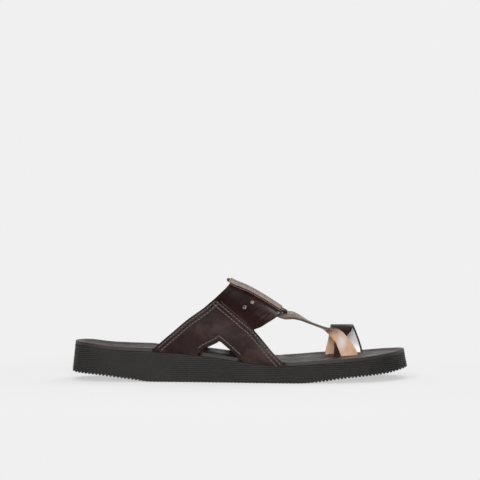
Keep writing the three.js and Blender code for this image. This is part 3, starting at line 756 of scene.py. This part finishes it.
def window_columns(rear, front, turns, columns):
    """x of each grid point for rows of turns: columns in the rear leg, the same in the front leg."""
    rows = []
    split_top = float(x_on_edge(OPEN_REAR, WINDOW_TOPS[0]))
    low, high = float(x_on_edge(rear, WINDOW_TOPS[0])), float(x_on_edge(front, WINDOW_TOPS[0]))
    share = (split_top - low) / (high - low)
    for turn in turns:
        start, end = float(x_on_edge(rear, turn)), float(x_on_edge(front, turn))
        if beside_window(turn):
            open_start, open_end = float(x_on_edge(OPEN_REAR, turn)), float(x_on_edge(OPEN_FRONT, turn))
        else:
            open_start = open_end = start + share * (end - start)
        legs = [np.linspace(start, open_start, columns), np.linspace(open_end, end, columns)]
        rows.append(np.concatenate(legs))
    return np.array(rows)


def leather_sheet(name, rear, front, turns, columns, offset, materials, thickness, creased=True):
    xs = window_columns(rear, front, turns, columns)
    turn_grid = np.broadcast_to(np.asarray(turns)[:, None], xs.shape)
    lift = offset(turn_grid) if callable(offset) else np.full(xs.shape, float(offset))
    if creased:
        lift = lift - crease_depth(xs, turn_grid, mirrored=float(np.mean(turns)) > 0.6)
    points = last_point(xs, turn_grid, lift).reshape(-1, 3)

    def window(row, column):
        return column == columns - 1 and (beside_window(turns[row]) or beside_window(turns[row + 1]))

    faces = grid_faces(len(turns), 2 * columns, window)
    piece = new_piece(name, points, faces, materials)
    merge_doubles(piece, 1e-6)
    outward = sum(p.normal.dot(p.center - Vector((0, 0, 0.03))) * p.area for p in piece.data.polygons)
    if outward < 0:
        piece.data.flip_normals()
    thicken(piece, thickness, rim_material=1, inner_material=2 if len(materials) > 2 else 0)
    return piece


def turns_between(start, end, count):
    """Turns from start to end with the window's top among them."""
    turns = np.linspace(start, end, count)
    for stop in WINDOW_TOPS:
        if min(start, end) < stop < max(start, end):
            turns[np.argmin(abs(turns - stop))] = stop
    return turns


STRAP_REAR = STRAP_REAR_TOP[0] * LENGTH
STRAP_FRONT = STRAP_FRONT_EDGE[1][0] * LENGTH
STRAP_MIDDLE = (STRAP_REAR + STRAP_FRONT) / 2
TAIL_TURN = float(turn_across(STRAP_MIDDLE, -BILLET_TAIL))
HINGE_TURN = float(turn_across(STRAP_MIDDLE, HINGE_BAR_ACROSS))
FAR_TURN = float(turn_across(STRAP_MIDDLE, FAR_BAR_ACROSS))
SLIT = BAR_DIAMETER * 0.75


def billet_top(turn):
    lift = SLIT * (1 - smooth_step(HINGE_TURN, FAR_TURN, turn))
    thin = smooth_step(FAR_TURN, BILLET_END, turn)
    return lift + BILLET_THICKNESS + (BILLET_END_STEP - BILLET_THICKNESS) * thin


def make_upper():
    base = [GRAIN, EDGE_DARK, LINING]
    sheet = leather_sheet("strap_wall", REAR, FRONT, turns_between(0.0, 1.0, 201), 72, -0.02, base, WALL)
    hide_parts("upper")
    for side, start, end in (("outer", 0.0, PANEL_TOPS[0]), ("inner", 1.0, PANEL_TOPS[1])):
        turns = turns_between(start, end, 61)
        layer = [PANEL_GRAIN, EDGE_DARK]
        leather_sheet(
            f"side_panel_{side}", PANEL_REAR, PANEL_FRONT, turns, 36, PANEL_STEP, layer, 1.15, creased=False
        )
    turns = np.linspace(TAIL_TURN, BILLET_END, 70)
    raw = [SATIN, EDGE_RAW, LINING]
    leather_sheet("billet", REAR, FRONT, turns, 30, billet_top, raw, BILLET_THICKNESS - 0.1, creased=False)
    # The fold lip's paler grain and edge colours paint in the highlight on the fold
    lip = np.linspace(TAIL_TURN + 0.004, float(turn_across(STRAP_MIDDLE, -6.6)), 6)
    leather_sheet("fold_lip", REAR, FRONT, lip, 30, 1.3, [TOE_GRAIN_PAINTED_SHEEN, EDGE_LIP_PAINTED_HIGHLIGHT], 1.2, creased=False)


def strip(name, rows, height, wide_at, thickness, crown, materials, rings=110, steps=12, dyed=0):
    """A strap swept along its table's rows; the dye of its edge covers the last steps of its flesh side."""
    table = np.array(rows, float)
    centre = table[:, :3] * [LENGTH, BALL_WIDTH, 1]
    centre[:, 2] *= height
    spot = np.concatenate([[0], np.cumsum(np.linalg.norm(np.diff(centre, axis=0), axis=1))])
    wide = wide_at(centre, table)
    data = np.column_stack([spot, centre, table[:, 3] * BALL_WIDTH, crown * BALL_WIDTH, wide])
    names = ("spot", "x", "y", "z", "width", "crown", "wx", "wy", "wz")
    t = np.linspace(0, spot[-1], rings)
    col = {key: look_up(data, names, key, t) for key in names[1:]}
    path = np.column_stack([col["x"], col["y"], col["z"]])
    tangent = np.gradient(path, axis=0)
    tangent /= np.linalg.norm(tangent, axis=1, keepdims=True)
    side = np.column_stack([col["wx"], col["wy"], col["wz"]])
    side -= tangent * np.sum(side * tangent, axis=1, keepdims=True)
    side /= np.linalg.norm(side, axis=1, keepdims=True)
    face = np.cross(tangent, side)
    u = np.linspace(-1, 1, steps + 1)
    across = path[:, None] + side[:, None] * (u[None, :, None] * col["width"][:, None, None] / 2)
    sag = col["crown"][:, None] * u[None] ** 2
    upper = across + face[:, None] * (thickness / 2 - sag)[..., None]
    lower = across - face[:, None] * (thickness / 2 + sag)[..., None]
    count = steps + 1
    points = np.concatenate([upper.reshape(-1, 3), lower.reshape(-1, 3)])
    half = rings * count
    faces, kinds = [], []
    for ring in range(rings - 1):
        for step in range(steps):
            a = ring * count + step
            faces.append((a, a + count, a + count + 1, a + 1))
            faces.append((half + a, half + a + 1, half + a + count + 1, half + a + count))
            kinds += [0, 1 if step < steps - dyed else 2]
        for edge in (0, steps):
            a = ring * count + edge
            quad = (a, half + a, half + a + count, a + count)
            faces.append(quad if edge == 0 else quad[::-1])
            kinds.append(2)
    for ring in (0, rings - 1):
        for step in range(steps):
            a = ring * count + step
            quad = (a, a + 1, half + a + 1, half + a)
            faces.append(quad if ring == 0 else quad[::-1])
            kinds.append(2)
    piece = new_piece(name, points, faces, materials, kinds)
    round_edges(piece, 0.45)
    return piece


def make_toe_strap():
    roll = np.radians([row[5] for row in TOE_STRAP])

    def wide(centre, table):
        tangent = np.gradient(centre, axis=0)
        tangent /= np.linalg.norm(tangent, axis=1, keepdims=True)
        y = np.tile([0.0, 1.0, 0.0], (len(centre), 1))
        y -= tangent * np.sum(y * tangent, axis=1, keepdims=True)
        return y * np.cos(roll)[:, None] + np.cross(tangent, y) * np.sin(roll)[:, None]

    crown = np.array([row[4] for row in TOE_STRAP])
    materials = [TOE_GRAIN_PAINTED_SHEEN, FLESH, EDGE_LIP_PAINTED_HIGHLIGHT]
    strip("toe_strap", TOE_STRAP, INSTEP_HEIGHT, wide, STRAP_THICKNESS, crown, materials)


def make_toe_ring():
    def wide(centre, table):
        return np.tile([1.0, 0.0, 0.0], (len(centre), 1))

    crown = np.zeros(len(TOE_RING))
    materials = [GRAIN, FLESH_PAINTED_GLARE, EDGE_DARK]
    strip("toe_ring", TOE_RING, RING_HEIGHT, wide, RING_THICKNESS, crown, materials, steps=18, dyed=1)


# Stitches
def stitch_shape(rings=5, sides=7):
    """A short plump thread along x, half sunk at both ends."""
    points, faces = [], []
    for ring in range(rings + 1):
        s = ring / rings
        x = (s - 0.5) * STITCH_LENGTH
        swell = math.sin(math.pi * min(max(s, 0.03), 0.97)) ** 0.45
        for k in range(sides):
            angle = 2 * math.pi * k / sides
            lift = STITCH_RADIUS * (0.35 + math.sin(math.pi * s)) * 0.5
            y, z = STITCH_RADIUS * swell * math.cos(angle), STITCH_RADIUS * swell * math.sin(angle)
            points.append((x, y, lift + z))
    for ring in range(rings):
        for k in range(sides):
            a, b = ring * sides + k, ring * sides + (k + 1) % sides
            faces.append((a, b, b + sides, a + sides))
    faces.append(tuple(range(sides))[::-1])
    faces.append(tuple(rings * sides + k for k in range(sides)))
    return np.array(points), faces


def stitch_row(xs, turns, lift):
    """Stitches along a curve on the last with a dark disc of painted shade for the hole between each two:
    points, faces, materials.
    """
    curve = last_point(xs, turns, lift)
    spot = np.concatenate([[0], np.cumsum(np.linalg.norm(np.diff(curve, axis=0), axis=1))])
    count = int(spot[-1] / STITCH_PITCH)
    shape, shape_faces = stitch_shape()
    ring = np.linspace(0, 2 * np.pi, 9)[:-1]
    hole_shade = np.stack([HOLE_RADIUS * 1.2 * np.cos(ring), HOLE_RADIUS * np.sin(ring), np.full(8, 0.1)], axis=-1)
    points, faces, kinds = [], [], []
    total = 0
    for i in range(2 * count + 1):
        middle = i * spot[-1] / (2 * count)
        thread = i % 2 == 1
        low, high = max(middle - 1.2, 0), min(middle + 1.2, spot[-1])
        ends = [np.array([np.interp(d, spot, curve[:, k]) for k in range(3)]) for d in (low, high)]
        x = float(np.interp(middle, spot, xs))
        turn = float(np.interp(middle, spot, turns))
        up = last_point(x, turn, 1.0) - last_point(x, turn, 0.0)
        along = ends[1] - ends[0]
        along /= np.linalg.norm(along)
        side = np.cross(up, along)
        side /= np.linalg.norm(side)
        up = np.cross(along, side)
        seat = np.array([np.interp(middle, spot, curve[:, k]) for k in range(3)])
        form, form_faces = (shape, shape_faces) if thread else (hole_shade, [tuple(range(8))])
        points.append(seat + form @ np.stack([along, side, up]))
        faces += [tuple(total + i for i in face) for face in form_faces]
        kinds += [0 if thread else 1] * len(form_faces)
        total += len(form)
    return np.concatenate(points), faces, kinds


def inset_curve(edge, low, high, inset, count=120):
    """A curve on the panel that runs inset mm inside one of its edges."""
    turns = np.linspace(low, high, count)
    xs = x_on_edge(edge, turns)
    flat = last_point(xs, turns, PANEL_STEP)
    along = np.gradient(flat, axis=0)
    along /= np.linalg.norm(along, axis=1, keepdims=True)
    up = last_point(xs, turns, PANEL_STEP + 1) - flat
    side = np.cross(up, along)
    side /= np.linalg.norm(side, axis=1, keepdims=True)
    per_x = last_point(xs + 0.5, turns, PANEL_STEP) - flat
    per_turn = last_point(xs, turns + 0.002, PANEL_STEP) - flat
    moved = side * inset
    # Solve the move in the surface for steps in x and turn
    a = np.stack([per_x, per_turn], axis=-1)
    steps = np.array([np.linalg.lstsq(m, v, rcond=None)[0] for m, v in zip(a, moved)])
    return xs + 0.5 * steps[:, 0], turns + 0.002 * steps[:, 1]


# How far in turns the stitches pass over the window's apex
OVER_WINDOW = 0.019


def make_stitches():
    double = (2.2, 5.4)
    single = 3.1
    seam_tops = tops_of(PANEL_SEAM)
    for side, foot, panel_top, seam_top, window_top in (
        ("outer", 0.02, PANEL_TOPS[0] - 0.004, seam_tops[0] - 0.004, WINDOW_TOPS[0] - 0.001),
        ("inner", 0.98, PANEL_TOPS[1] + 0.004, seam_tops[1] + 0.004, WINDOW_TOPS[1] + 0.001),
    ):
        flip = 1 if side == "outer" else -1
        runs = [(PANEL_REAR, panel_top, -inset * flip) for inset in double]
        runs += [(PANEL_SEAM, seam_top, inset * flip) for inset in double]
        curves = [inset_curve(edge, foot, top, inset) for edge, top, inset in runs]
        rear_x, rear_turns = inset_curve(OPEN_REAR, foot, window_top, single * flip)
        front_x, front_turns = inset_curve(OPEN_FRONT, foot, window_top, -single * flip)
        over_x = (rear_x[-1] + front_x[-1]) / 2
        over_turn = window_top + OVER_WINDOW * flip
        arch_x = np.concatenate([rear_x, [over_x], front_x[::-1]])
        arch_turns = np.concatenate([rear_turns, [over_turn], front_turns[::-1]])
        curves.append((arch_x, arch_turns))
        points, faces, kinds = [], [], []
        for xs, turns in curves:
            row_points, row_faces, row_kinds = stitch_row(xs, turns, PANEL_STEP - 0.05)
            first = sum(len(p) for p in points)
            points.append(row_points)
            faces += [tuple(first + i for i in face) for face in row_faces]
            kinds += row_kinds
        new_piece(f"stitches_{side}", np.concatenate(points), faces, [THREAD, HOLE_SHADE], kinds)


def make_seam_shadow_lines():
    """The dark line along the panel's front edge: its dyed edge, and painted shadow on the strap under it."""
    tops = tops_of(PANEL_SEAM)
    for side, foot, top, flip in (("outer", 0.18, tops[0], 1), ("inner", 0.82, tops[1], -1)):
        lines = []
        for inset in (0.5, -0.9):
            xs, turns = inset_curve(PANEL_FRONT, foot, top, inset * flip)
            lines.append(last_point(xs, turns, 0.05 if inset < 0 else PANEL_STEP + 0.04))
        faces = grid_faces(2, len(lines[0]))
        new_piece(f"seam_shadow_line_{side}", np.concatenate(lines), faces, [EDGE_DARK])


# Buckle
def buckle_plane():
    reach = BUCKLE_OVERHANG + BAR_DIAMETER / 2
    rise = float(ridge_height(STRAP_FRONT) - ridge_height(STRAP_REAR))
    slope = math.atan2(rise, STRAP_FRONT - STRAP_REAR)
    along = np.array([math.cos(slope), 0, math.sin(slope)])
    hinge = last_point(STRAP_MIDDLE, HINGE_TURN, HINGE_BAR_RISE)
    far = last_point(STRAP_MIDDLE, FAR_TURN, BILLET_THICKNESS + GAP + BAR_DIAMETER / 2)
    across = far - hinge
    gauge = np.linalg.norm(across)
    across = across / gauge
    length = (STRAP_FRONT - STRAP_REAR) / math.cos(slope) + 2 * reach
    return (hinge + far) / 2, along, across, gauge, length


def make_buckle_frame():
    centre, along, across, gauge, length = buckle_plane()
    normal = np.cross(along, across)
    path = []
    corners = ((1, 1, 0), (1, -1, 90), (-1, -1, 180), (-1, 1, 270))
    for sideways, forward, start in corners:
        for angle in np.radians(start + np.linspace(0, 90, 9)):
            lengthways = forward * (length / 2 - BUCKLE_CORNER) + BUCKLE_CORNER * math.cos(angle)
            crossways = sideways * (gauge / 2 - BUCKLE_CORNER) + BUCKLE_CORNER * math.sin(angle)
            path.append(centre + along * lengthways + across * crossways)
    path = np.array(path)
    sides = 20
    tangent = np.roll(path, -1, axis=0) - np.roll(path, 1, axis=0)
    tangent /= np.linalg.norm(tangent, axis=1, keepdims=True)
    outward = np.cross(tangent, normal)
    points, faces = [], []
    for p, o in zip(path, outward):
        for k in range(sides):
            angle = 2 * math.pi * k / sides
            points.append(p + (o * math.cos(angle) + normal * math.sin(angle)) * BAR_DIAMETER / 2)
    count = len(path)
    for i in range(count):
        for k in range(sides):
            n = (k + 1) % sides
            a, b = i * sides, ((i + 1) % count) * sides
            faces.append((a + k, a + n, b + n, b + k))
    piece = new_piece("buckle_bar", points, faces, [GUNMETAL])
    merge_doubles(piece)
    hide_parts("buckle_frame")


def make_rivet_dimple_shades():
    """Painted shade: a dark disc for the dimple in the middle of each rivet's head."""
    ring = np.linspace(0, 2 * np.pi, 17)[:-1]
    points = []
    for along, turn, radius in RIVET_DIMPLE_SHADES:
        x = along * LENGTH
        turn_per_mm = 0.002 / np.linalg.norm(last_point(x, turn + 0.002, 0) - last_point(x, turn, 0))
        turns = turn + radius * np.sin(ring) * turn_per_mm
        points.append(last_point(x + radius * np.cos(ring), turns, RIVET_TOP))
    faces = [tuple(range(16)), tuple(range(16, 32))]
    new_piece("rivet_dimple_shades", np.concatenate(points), faces, [HOLE_SHADE])


def finish_node(node, material, bevel):
    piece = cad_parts[node]
    piece.data.materials.clear()
    piece.data.materials.append(material)
    round_edges(piece, bevel, 2)


make_outsole()
make_footbed()
make_upper()
make_toe_strap()
make_toe_ring()
make_stitches()
make_seam_shadow_lines()
make_buckle_frame()
make_rivet_dimple_shades()
finish_node("buckle_pin", GUNMETAL, 0.3)
finish_node("rivet_rear", STEEL, 0.2)
finish_node("rivet_front", STEEL, 0.2)


# Floor, light and camera
BACKGROUND = 0.871
LIT_RADIUS = (0.2, 0.34)
EVEN_SHARE = 0.6
FLOOR_ALBEDO = 0.65


def lit_floor(tree):
    """Paper that takes shadows round the shoe and fades into an even pale grey further out."""
    nodes, links = tree.nodes, tree.links
    output = nodes["Material Output"]
    nodes.remove(nodes["Principled BSDF"])
    paper = nodes.new("ShaderNodeBsdfDiffuse")
    paper.inputs["Color"].default_value = (FLOOR_ALBEDO, FLOOR_ALBEDO, FLOOR_ALBEDO, 1)
    even = nodes.new("ShaderNodeEmission")
    even.inputs["Color"].default_value = (BACKGROUND, BACKGROUND, BACKGROUND, 1)
    place = nodes.new("ShaderNodeNewGeometry")
    length = nodes.new("ShaderNodeVectorMath")
    length.operation = "LENGTH"
    links.new(place.outputs["Position"], length.inputs[0])
    fade = nodes.new("ShaderNodeMapRange")
    fade.interpolation_type = "SMOOTHSTEP"
    fade.inputs["From Min"].default_value, fade.inputs["From Max"].default_value = LIT_RADIUS
    links.new(length.outputs["Value"], fade.inputs["Value"])
    fade.inputs["To Min"].default_value = EVEN_SHARE
    mix = nodes.new("ShaderNodeMixShader")
    links.new(fade.outputs[0], mix.inputs[0])
    links.new(paper.outputs[0], mix.inputs[1])
    links.new(even.outputs[0], mix.inputs[2])
    links.new(mix.outputs[0], output.inputs["Surface"])


def make_floor():
    size, rise, sweep, steps = 4.0, 3.0, 1.2, 24
    section = [(-size, 0.0), (0.9, 0.0)]
    for i in range(1, steps + 1):
        angle = math.pi / 2 * i / steps
        section.append((0.9 + sweep * math.sin(angle), sweep * (1 - math.cos(angle))))
    section.append((0.9 + sweep, rise))
    points, faces = [], []
    for y, z in section:
        points += [(-size, y, z), (size, y, z)]
    for i in range(len(section) - 1):
        a = 2 * i
        faces.append((a, a + 1, a + 3, a + 2))
    mesh = bpy.data.meshes.new("floor")
    mesh.from_pydata(points, [], faces)
    mesh.polygons.foreach_set("use_smooth", [True] * len(mesh.polygons))
    material = bpy.data.materials.new("floor_paper")
    material.use_nodes = True
    lit_floor(material.node_tree)
    mesh.materials.append(material)
    floor = bpy.data.objects.new("floor", mesh)
    bpy.context.scene.collection.objects.link(floor)


def area_light(name, place, aim, size, power):
    data = bpy.data.lights.new(name, "AREA")
    data.shape = "RECTANGLE"
    data.size, data.size_y = size
    data.energy = power
    lamp = bpy.data.objects.new(name, data)
    lamp.location = place
    lamp.rotation_mode = "QUATERNION"
    lamp.rotation_quaternion = (Vector(aim) - Vector(place)).to_track_quat("-Z", "Y")
    bpy.context.scene.collection.objects.link(lamp)


def make_lights():
    world = bpy.data.worlds.new("studio")
    bpy.context.scene.world = world
    world.use_nodes = True
    background = world.node_tree.nodes["Background"]
    background.inputs["Color"].default_value = (1, 1, 1, 1)
    background.inputs["Strength"].default_value = 0.24
    area_light("top_soft", (0.0, 0.15, 1.3), (0, 0, 0), (1.6, 1.1), 11)
    area_light("back_soft", (0.5, 0.9, 0.8), (0.05, 0, 0.04), (0.8, 0.5), 5)
    area_light("front_soft", (-0.6, -1.0, 1.0), (0, 0, 0.03), (0.5, 0.4), 6)
    area_light("front_low", (0.1, -1.25, 0.34), (0.02, 0, 0.03), (0.5, 0.22), 9)


def make_camera():
    distance = 1.6
    height = 0.1447
    look_at = Vector((-0.0005, 0.0, 0.1194))
    data = bpy.data.cameras.new("camera")
    data.sensor_width = 36
    frame_width = 480 * 0.8622 * MM
    data.lens = data.sensor_width * distance / frame_width
    camera = bpy.data.objects.new("camera", data)
    camera.location = (-0.0005, -distance, height)
    camera.rotation_mode = "QUATERNION"
    camera.rotation_quaternion = (look_at - camera.location).to_track_quat("-Z", "Y")
    bpy.context.scene.collection.objects.link(camera)
    bpy.context.scene.camera = camera


make_floor()
make_lights()
make_camera()
bpy.context.scene.view_settings.view_transform = "Standard"
